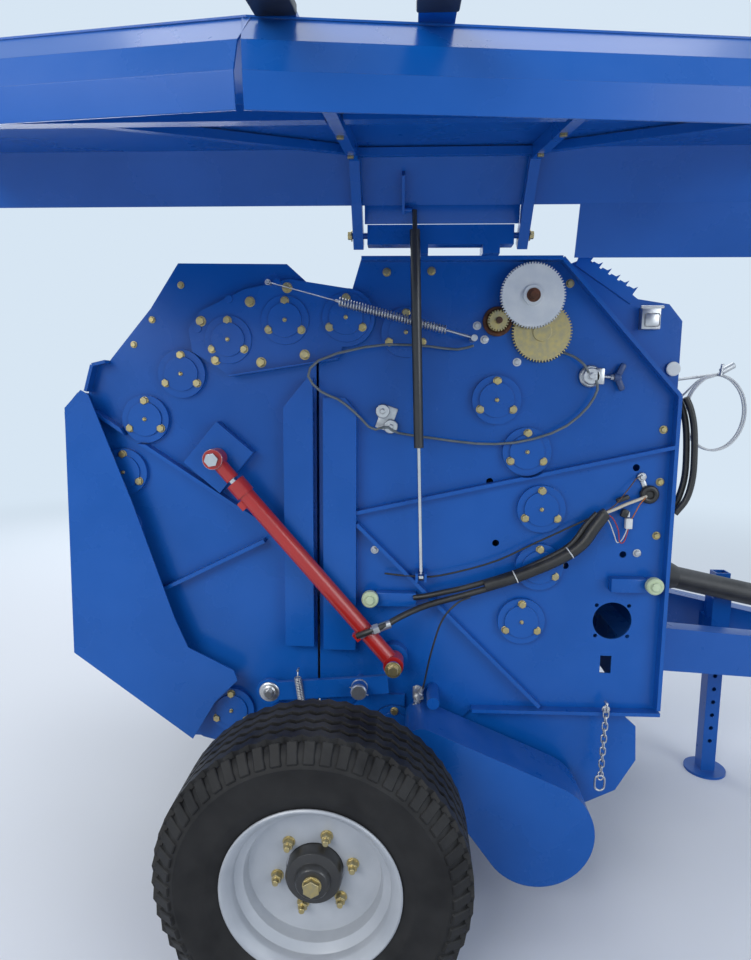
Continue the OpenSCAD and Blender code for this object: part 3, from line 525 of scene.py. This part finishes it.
pale_green = coated("pale_green", (0.52, 0.62, 0.42), (0.42, 0.52, 0.34), 0.45, mottle=40.0, grain=700.0,
                    depth=0.00005, dust=0.15)
blue_cast = coated("blue_cast", (0.02, 0.05, 0.16), (0.03, 0.07, 0.2), 0.4, mottle=60.0, grain=300.0,
                   depth=0.0003, dust=0.1)
shape = bmesh.new()
brake_wheel, pulley_y = spot(815, -plate_face, 1712), -618


def by_wheel(x, y, z):
    """A place from the middle of the adjuster's wheel, in millimetres."""
    return brake_wheel + Vector((x / 1000, y / 1000, z / 1000))


add(shape, turned(0.030, 0.006, 40, 0.001), facing(brake_wheel))
add(shape, turned(0.034, 0.012, 40, 0.004), facing(by_wheel(0, -6, 0)))
add(shape, turned(0.026, 0.012, 40, 0.003), facing(by_wheel(0, -18, 0)))
add(shape, slab(26, 24, 50, 0.004), moved(by_wheel(26, -18, 0)))
hex_bolts(shape, [by_wheel(0, -30, 0)], flats=17.0, high=7.0, washer=24.0)
rod(shape, by_wheel(30, -16, 0), by_wheel(92, -16, -4), 0.009)
add(shape, turned(0.009, 0.012, 6, 0.001), moved(by_wheel(60, -16, -2)) @ tilted(90, "Y"))
add(shape, slab(50, 4, 78), moved(spot(190, -613, 1578)) @ tilted(20, "Y"))
for x, z in ((178, 1600), (204, 1552)):
    add(shape, turned(0.022, 0.006, 32, 0.002), facing(spot(x, pulley_y, z)))
    add(shape, turned(0.016, 0.010, 32, 0.0), facing(spot(x, pulley_y - 6, z)))
    add(shape, turned(0.022, 0.006, 32, 0.002), facing(spot(x, pulley_y - 15, z)))
    hex_bolts(shape, [spot(x, pulley_y - 21, z)], flats=13.0, high=6.0, washer=18.0)
add(shape, slab(56, 30, 66, 0.002), moved(spot(984, -618, 1886)))
add(shape, slab(44, 6, 40, 0.006), moved(spot(986, -636, 1880)))
rod(shape, spot(952, -630, 1918), spot(1020, -630, 1918), 0.010)
linkage = piece("net_brake_parts", shape, zinc, "frame")
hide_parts("net_linkage")
shape = bmesh.new()
for lean, reach in ((66, 0.046), (-66, 0.044)):
    wing = slab(reach * 1000, 16, 20, 0.007)
    bmesh.ops.translate(wing, vec=(reach / 2, 0, 0), verts=wing.verts)
    add(shape, wing, moved(by_wheel(80, -16, -3)) @ tilted(-lean, "Y"))
add(shape, turned(0.013, 0.018, 20, 0.002), moved(by_wheel(70, -16, -3)) @ tilted(90, "Y"))
piece("brake_wing", shape, blue_cast, "frame")
for name, x, z, middle, long in (("cover_pad_low", 144, 1000, 83, 130), ("cover_pad_front", 1036, 1063, -73, 110)):
    shape = bmesh.new()
    add(shape, slab(long, 36, 46, 0.003), moved(spot(x + middle, -628, z - 6)))
    add(shape, turned(0.017, 0.042, 24, 0.0), facing(spot(x, -plate_face, z)))
    piece(name + "_holder", shape, blue_enamel, "frame")
    shape = bmesh.new()
    add(shape, turned(0.027, 0.020, 32, 0.004), facing(spot(x, -652, z)))
    add(shape, turned(0.014, 0.008, 24, 0.002), facing(spot(x, -672, z)))
    piece(name, shape, pale_green, "frame")

# Tailgate latches: a thick arm on a pin with a castle nut, a dished washer over its hook
# and a short coil spring that pulls it down.
def spring_coil(shape, start, end, radius, wire, turns, steps, fine):
    """A coil of round wire between two places, as the first thing in a shape."""
    way = end - start
    loop = bmesh.ops.create_circle(shape, cap_ends=False, segments=fine, radius=wire)["verts"]
    bmesh.ops.transform(shape, matrix=moved((radius, 0, 0)) @ tilted(90, "X"), verts=loop)
    bmesh.ops.spin(shape, geom=loop + list({e for v in loop for e in v.link_edges}), cent=(0, 0, 0),
                   axis=(0, 0, 1), dvec=(0, 0, way.length / (turns * steps)), angle=math.tau * turns,
                   steps=turns * steps, use_merge=False)
    bmesh.ops.transform(shape, matrix=moved(start) @ along(way), verts=shape.verts)


for label, side in (("right", -1), ("left", 1)):
    shape = bmesh.new()
    hook = spot(-186, side * 668, 678)
    add(shape, turned(0.034, 0.005, 48, 0.003, top=0.030), facing(hook, side))
    add(shape, turned(0.024, 0.009, 48, 0.004, top=0.020), facing(hook, side))
    hex_bolts(shape, [hook + Vector((0, side * 0.008, 0))], flats=24.0, high=11.0, washer=36.0, out=side)
    pin = spot(112, side * 668, 705)
    add(shape, turned(0.027, 0.005, 32, 0.001), facing(pin, side))
    add(shape, turned(0.024, 0.020, 6, 0.002), facing(pin + Vector((0, side * 0.005, 0)), side))
    add(shape, turned(0.0262, 0.012, 32, 0.003), facing(pin + Vector((0, side * 0.033, 0)), side))
    rod(shape, pin + Vector((-0.030, side * 0.030, 0.012)), pin + Vector((0.030, side * 0.030, -0.014)), 0.004)
    piece("latch_fittings_" + label, shape, zinc, "frame")
    shape = bmesh.new()
    top, low = spot(-90, side * 676, 735), spot(-78, side * 664, 634)
    spring_coil(shape, low, top, 0.0105, 0.0021, turns=17, steps=14, fine=8)
    for start, end in ((top, top + Vector((0, side * -0.004, 0.024))),
                       (low, low + Vector((0.002, side * -0.014, -0.030)))):
        rod(shape, start, end, 0.0045, 10)
    rod(shape, top + Vector((0, 0, 0.022)), top + Vector((0, side * -0.020, 0.022)), 0.008, 12)
    rod(shape, low + Vector((0.002, side * -0.010, -0.030)), low + Vector((0.002, side * -0.060, -0.030)),
        0.010, 12)
    piece("latch_spring_" + label, shape, zinc, "frame", angle=60)


# Net gears: the rusty race round the pinion, the nut on the white gear's shaft and the
# end of the pinion's shaft.
def ring(radius, thick, sides=28, stretch=0.0, fine=10):
    """A round bar bent to a closed ring about the z axis, drawn out along x."""
    part = bmesh.new()
    bmesh.ops.create_circle(part, cap_ends=False, segments=fine, radius=thick / 2)
    bmesh.ops.transform(part, matrix=moved((radius, 0, 0)) @ tilted(90, "X"), verts=part.verts)
    bmesh.ops.spin(part, geom=part.verts[:] + part.edges[:], cent=(0, 0, 0), axis=(0, 0, 1), angle=math.tau,
                   steps=sides, use_merge=True)
    for v in part.verts:
        v.co.x += stretch / 2 if v.co.x > 0.0001 else (-stretch / 2 if v.co.x < -0.0001 else 0)
    bmesh.ops.recalc_face_normals(part, faces=part.faces)
    return part


shape = bmesh.new()
add(shape, ring(0.0385, 0.013, 48, fine=8), facing(spot(527, -620, 1876)))
add(shape, ring(0.0335, 0.010, 48, fine=8), facing(spot(527, -613, 1876)))
piece("pinion_race", shape, rusty_steel, "frame")
shape = bmesh.new()
add(shape, turned(0.0145, 0.011, 6, 0.002), facing(spot(627, -658, 1950)))
add(shape, turned(0.0205, 0.004, 32, 0.001), facing(spot(627, -656, 1950)))
add(shape, turned(0.010, 0.008, 24, 0.002), facing(spot(527, -658, 1876)))
piece("shaft_ends", shape, rusty_steel, "frame")

# Small parts of the front edge: grommet, plugs, hose fittings, ties, the safety chain of
# the drawbar and the sensor beside the pickup. Plated steel, rubber and nylon.
shape = bmesh.new()
add(shape, ring(0.020, 0.019, 32), facing(spot(1017, -620, 1347)))
add(shape, turned(0.013, 0.012, 20, 0.002), facing(spot(1017, -610, 1347)))
for x, z, long, high, lean in ((932, 1334, 40, 14, 22), (866, 1284, 34, 30, 35), (940, 1288, 26, 22, 70)):
    add(shape, slab(long, 20, high, 0.004), moved(spot(x, -630 if x > 900 else -648, z)) @ tilted(-lean, "Y"))
piece("loom_rubber", shape, hose_rubber, "frame")
shape = bmesh.new()
for x, z, long, high in ((957, 1254, 22, 34), (950, 1284, 16, 18)):
    add(shape, slab(long, 18, high, 0.003), moved(spot(x, -622, z)))
for x, y, z, lean in ((604, -657, 1083, 26), (770, -656, 1165, 36)):
    add(shape, ring(0.020, 0.004, 24, 0.0, 6), moved(spot(x, y, z)) @ tilted(-lean, "Y") @ tilted(90, "Y"))
add(shape, turned(0.022, 0.004, 28, 0.002), facing(spot(1067, -610, 1736)))
piece("plugs_and_ties", shape, white_nylon, "frame")
shape = bmesh.new()
add(shape, slab(16, 5, 58, 0.003), moved(spot(1001, -613, 1377)) @ tilted(-22, "Y"))
add(shape, turned(0.014, 0.006, 24, 0.001), facing(spot(991, -614, 1402)))
crimp, port = spot(212, -716, 940), spot(152, -725, 918)
rod(shape, crimp, port, 0.026, 20)
add(shape, turned(0.017, 0.020, 6, 0.001), moved(spot(176, -722, 927)) @ along(port - crimp))
rod(shape, spot(150, -726, 917), spot(117, -718, 896), 0.018, 16)
sensor, tip = spot(318, -660, 706), spot(290, -664, 626)
rod(shape, sensor, tip, 0.013, 16)
for t in (0.25, 0.55, 0.72):
    add(shape, turned(0.0115, 0.007, 6, 0.001), moved(sensor.lerp(tip, t)) @ along(tip - sensor))
add(shape, slab(34, 30, 4), moved(spot(305, -652, 664)) @ tilted(-19, "Y"))
add(shape, slab(34, 4, 44), moved(spot(303, -636, 676)))
hex_bolts(shape, [spot(911, -652, 646), spot(300, -638, 690)], flats=17.0, high=8.0, washer=26.0)
hex_bolts(shape, [spot(x, -y, z) for x, y, z in ((993, plate_face, 1156), (991, 620, 1402), (155, plate_face, 1150),
                                                 (592, plate_face, 1754), (466, plate_face, 1864),
                                                 (490, plate_face, 1822))], flats=15.0, high=8.0, washer=26.0)
rod(shape, spot(911, -644, 668), spot(911, -664, 668), 0.010, 12)
links, link_pitch = 12, 21.5
for i in range(links):
    add(shape, ring(0.0085, 0.005, 16, 0.012, 6),
        moved(spot(911 - i * 0.6, -658, 654 - i * link_pitch)) @ tilted(90 * (i % 2), "Z") @ tilted(90, "Y"))
add(shape, ring(0.016, 0.007, 20, 0.020, 8), moved(spot(903, -658, 392)) @ tilted(90, "X") @ tilted(90, "Z"))
rod(shape, spot(1086, -466, 1700), spot(1250, -466, 1722), 0.010, 12)
rod(shape, spot(1250, -462, 1722), spot(1250, -524, 1722), 0.010, 12)
rod(shape, spot(1250, -524, 1718), spot(1254, -524, 1756), 0.010, 12)
add(shape, turned(0.011, 0.045, 20, 0.003), moved(spot(1262, -500, 1732)) @ tilted(60, "Y"))
add(shape, slab(6, 40, 56), moved(spot(1090, -466, 1696)))
rod(shape, spot(1600, 52, 620), spot(1600, 148, 620), 0.016)
piece("front_fittings", shape, zinc, "frame")

# Running gear: square axle, stub shafts and the slanted square tubes of the drawbar,
# welded and painted with the frame. The nose carries the hitch eye.
for name in ("axle", "drawbar_beam_right", "drawbar_beam_left", "drawbar_head", "gearbox"):
    finish(name, blue_enamel)
black_plastic = coated("black_plastic", (0.016, 0.016, 0.017), (0.024, 0.024, 0.025), 0.42, mottle=20.0,
                       grain=600.0, depth=0.00008, dust=0.25)
black_paint = coated("black_paint", (0.012, 0.012, 0.013), (0.018, 0.018, 0.019), 0.3, mottle=20.0, grain=500.0,
                     depth=0.00004, dust=0.12, coat=0.3)
finish("drive_shaft", black_plastic, dark_steel)
finish("jack_leg", blue_enamel, zinc)
finish("drive_chain", dark_steel)

# Tyres: cross-ply implement tyres on 15 inch rims. Five wavy ribs run round the tread,
# and fifty-six blocks stand on each shoulder.
tyre_rubber = coated("tyre_rubber", (0.008, 0.008, 0.009), (0.015, 0.015, 0.016), 0.55, mottle=12.0,
                     grain=500.0, depth=0.00012, dust=0.10, shine=0.22)
tyre_steps, shoulder_blocks = 112, 56
wheel_at = {"right": spot(30, -1095, 412), "left": spot(30, 1095, 412)}
half_tyre = [(206, 98), (214, 108), (234, 116.5), (262, 126), (268, 128), (276, 127.5), (320, 131.5),
             (340, 131.8), (346, 134), (352, 132), (374, 120), (392, 100), (399, 78), (401, 40), (402, 0)]


def wheel_ring(shape, outline, steps):
    """Spins a closed outline of radius and offset, in millimetres, round the wheel's axis."""
    corners = [shape.verts.new((r / 1000, -a / 1000, 0)) for r, a in outline]
    edges = [shape.edges.new((corners[i], corners[(i + 1) % len(corners)])) for i in range(len(corners))]
    bmesh.ops.spin(shape, geom=corners + edges, cent=(0, 0, 0), axis=(0, 1, 0), angle=math.tau, steps=steps,
                   use_merge=True)


def put_wheel(shape, label):
    """Moves a wheel's shape to its side, turned over on the left."""
    if label == "left":
        bmesh.ops.transform(shape, matrix=Matrix.Rotation(math.pi, 4, "Z"), verts=shape.verts)
    bmesh.ops.translate(shape, vec=wheel_at[label], verts=shape.verts)
    bmesh.ops.remove_doubles(shape, verts=shape.verts, dist=1e-6)
    bmesh.ops.recalc_face_normals(shape, faces=shape.faces)


for label in ("right", "left"):
    shape = bmesh.new()
    wheel_ring(shape, half_tyre + [(r, -a) for r, a in reversed(half_tyre[:-1])], tyre_steps)
    for offset, wide in ((-82, 30), (-41, 26), (0, 26), (41, 26), (82, 30)):
        before = set(shape.verts)
        wheel_ring(shape, [(395, offset + wide / 2 + 2), (411.5, offset + wide / 2 - 1),
                           (411.5, offset - wide / 2 + 1), (395, offset - wide / 2 - 2)], tyre_steps)
        for v in set(shape.verts) - before:
            turn = math.atan2(v.co.z, v.co.x) / math.tau * tyre_steps
            v.co.y += 0.006 * (1 if round(turn) % 2 else -1)
    for shoulder in (-1, 1):
        block = bmesh.new()
        bmesh.ops.create_cube(block, size=1.0)
        bmesh.ops.scale(block, vec=(0.016, 0.056, 0.028), verts=block.verts)
        bevelled(block, block.edges, 0.0025)
        lean = moved((0.3765, shoulder * 0.1125, 0)) @ tilted(shoulder * 52, "Z")
        add(shape, block, *[Matrix.Rotation(math.tau * i / shoulder_blocks, 4, "Y") @ lean
                            for i in range(shoulder_blocks)])
    put_wheel(shape, label)
    tyre = piece("tyre_tread_" + label, shape, tyre_rubber, "wheel_" + label, angle=30)
    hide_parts("tyre_" + label)

# Rims: pressed and rolled steel in silver enamel, with a deep-set disc, six studs with
# nuts round a black hub, and the hub's yellow cap nut in the middle.
rim_silver = coated("rim_silver", (0.42, 0.45, 0.50), (0.36, 0.39, 0.44), 0.36, metal=0.10, dust=0.16, coat=0.2,
                    mottle=10.0, grain=300.0, depth=0.00005, under=(0.20, 0.10, 0.06), under_metal=0.0,
                    rub=0.25, width=0.003)
rim_outline = [(233, 122), (229, 125), (224, 123), (215, 112), (208, 103), (205, 98), (203, 82), (192, 74),
               (182, 68), (179, 58), (177, 46), (176, 36), (168, 33), (120, 31), (76, 30), (76, 24), (120, 24),
               (168, 25), (176, -20), (178, -60), (190, -74), (204, -82), (206, -98), (233, -118), (233, -114),
               (210, -96), (208, -80), (194, -70), (183, -58), (181, 56), (186, 64), (196, 70), (207, 79),
               (209, 97), (216, 107), (226, 117), (233, 118)]
for label in ("right", "left"):
    shape = bmesh.new()
    wheel_ring(shape, rim_outline, 96)
    put_wheel(shape, label)
    rim = piece("rim_dish_" + label, shape, rim_silver, "wheel_" + label, angle=40)
    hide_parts("rim_" + label)
    shape = bmesh.new()
    wheel_ring(shape, [(36, -62), (72, -60), (74, -40), (74, 60), (70, 66), (48, 70), (44, 84), (40, 88),
                       (2, 89), (2, 60), (36, 58)], 48)
    put_wheel(shape, label)
    piece("hub_" + label, shape, black_paint, "wheel_" + label, angle=40)
    shape = bmesh.new()
    side = -1 if label == "right" else 1
    hex_bolts(shape, [wheel_at[label] + Vector((0, side * 0.0885, 0))], flats=40.0, high=15.0, washer=50.0,
              out=side)
    around = [wheel_at[label] + Vector((0.1025 * math.cos(t), side * 0.030, 0.1025 * math.sin(t)))
              for t in (math.radians(60 * i + 12) for i in range(6))]
    hex_bolts(shape, around, flats=24.0, high=18.0, washer=34.0, out=side)
    add(shape, turned(0.008, 0.034, 16, 0.001), *[facing(at, side) for at in around])
    piece("wheel_nuts_" + label, shape, yellow_zinc, "wheel_" + label)

# Covers: folded sheet doors with arms, braces and a handle, hinged along the roof.
# Gas struts push them up: a bright rod in a black tube.
for name in ("cover_panel_right", "cover_panel_left", "cover_arms_right", "cover_arms_left"):
    finish(name, blue_enamel, black_plastic)
rod_chrome = coated("rod_chrome", (0.62, 0.63, 0.64), (0.55, 0.56, 0.57), 0.14, metal=1.0, mottle=20.0,
                    grain=900.0, depth=0.00001)
for side in ("right", "left"):
    finish("strut_rod_" + side, rod_chrome)
    finish("strut_tube_" + side, black_paint)

# Cover fittings: black blocks laid over the legs and the grip of the handle, the strip between the hinge arms
# and the bolts of the hinges and of the strut's bracket.
hinge_y, hinge_z, raised = -660, 2120, 80


def on_cover(side, x, y, z):
    """A place on a closed cover, in millimetres, where the pose has it; the right one is raised."""
    if side > 0:
        return spot(x, -y, z)
    turn = math.radians(raised)
    out, up = y - hinge_y, z - hinge_z
    return spot(x, hinge_y + out * math.cos(turn) + up * math.sin(turn),
                hinge_z + up * math.cos(turn) - out * math.sin(turn))


for label, side in (("right", -1), ("left", 1)):
    lean = tilted(-raised if side < 0 else 0, "X")
    shape = bmesh.new()
    # Black blocks over the handle's two legs and its grip make the handle dark.
    for x in (80, 290):
        add(shape, slab(56, 15, 152, 0.003), moved(on_cover(side, x, -884, 963)) @ lean)
    add(shape, slab(262, 15, 46, 0.004), moved(on_cover(side, 185, -884, 871)) @ lean)
    piece("handle_black_blocks_" + label, shape, black_plastic, "cover_" + label)
    shape = bmesh.new()
    slope = tilted(-raised + 5.5 if side < 0 else -5.5, "X")
    add(shape, slab(448, 54, 3, 0.0008), moved(on_cover(side, 347, -718, 2096.5)) @ slope)
    piece("cover_strip_" + label, shape, blue_enamel, "cover_" + label)
    shape = bmesh.new()
    for x, way in ((84, -1), (606, 1)):
        pin, turn = on_cover(side, x, hinge_y, hinge_z), tilted(90 * way, "Y")
        add(shape, turned(0.016, 0.003, 24, 0.0006), moved(pin) @ turn)
        add(shape, turned(0.012, 0.010, 6, 0.001), moved(pin + Vector((0.003 * way, 0, 0))) @ turn)
    for x in (101, 585):
        for z in (1380, 1640, 1900):
            add(shape, turned(0.009, 0.007, 6, 0.001),
                moved(on_cover(side, x, -843, z)) @ lean @ tilted(-90 if side < 0 else 90, "X"))
    piece("cover_bolts_" + label, shape, yellow_zinc, "cover_" + label)

# Tailgate cylinders: red barrels with bright rods, between a pin on the frame and the
# bracket on the tailgate.
red_enamel = coated("red_enamel", (0.42, 0.013, 0.010), (0.36, 0.010, 0.008), 0.28, under=(0.18, 0.17, 0.16),
                    rub=0.4, width=0.0016, dust=0.10, coat=0.35, mottle=6.0, grain=260.0, depth=0.00004)
for side in ("right", "left"):
    finish("cylinder_barrel_" + side, red_enamel)
    finish("cylinder_rod_" + side, rod_chrome)
for label, side in (("right", -1), ("left", 1)):
    rod_pin, barrel_pin = spot(-341, side * 690, 1450), spot(222, side * 690, 799)
    way = (barrel_pin - rod_pin).normalized()
    shape = bmesh.new()
    for out in (-1, 1):
        add(shape, turned(0.0318, 0.0285, 40, 0.002), facing(rod_pin, out))
    rod(shape, rod_pin + way * 0.022, rod_pin + way * 0.084, 0.044, 32)
    piece("rod_eye_" + label, shape, red_enamel, "rod_" + label)

# Pickup: a tined reel between curved bands, with side boxes and a wind guard of rods.
for name in ("pickup_frame", "pickup_bands"):
    finish(name, blue_enamel)
finish("pickup_reel", dark_steel)
finish("wind_guard", zinc)

# Return spring of the net brake: an open coil of 4.6 mm wire with hooked ends, plated all
# over. A thin wire ties its rear end to a peg on the tailgate, close above the hinge.
rear_end, front_end, hook_pin = spot(44, -674, 1928), spot(369, -674, 1845), spot(452, -674, 1822)
shape = bmesh.new()
spring_coil(shape, rear_end, front_end, 0.0122, 0.0023, turns=38, steps=12, fine=6)
for start, end in ((front_end, hook_pin), (spot(34, -674, 1931), spot(52, -674, 1926))):
    add(shape, turned(0.004, (end - start).length, 12), moved(start) @ along(end - start))
add(shape, turned(0.010, 0.074, 20), facing(spot(452, -plate_face, 1822)))
bmesh.ops.recalc_face_normals(shape, faces=shape.faces)
spring = piece("net_spring", shape, zinc, "frame", angle=60)
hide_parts("tension_spring")
shape = bmesh.new()
peg = spot(-170, -674, 1985)
rod(shape, peg, spot(40, -674, 1929), 0.003, 8)
rod(shape, spot(-170, -634, 1985), spot(-170, -682, 1985), 0.011, 16)
add(shape, ring(0.0075, 0.003, 20, fine=6), facing(peg))
piece("spring_wire", shape, zinc, "tailgate")
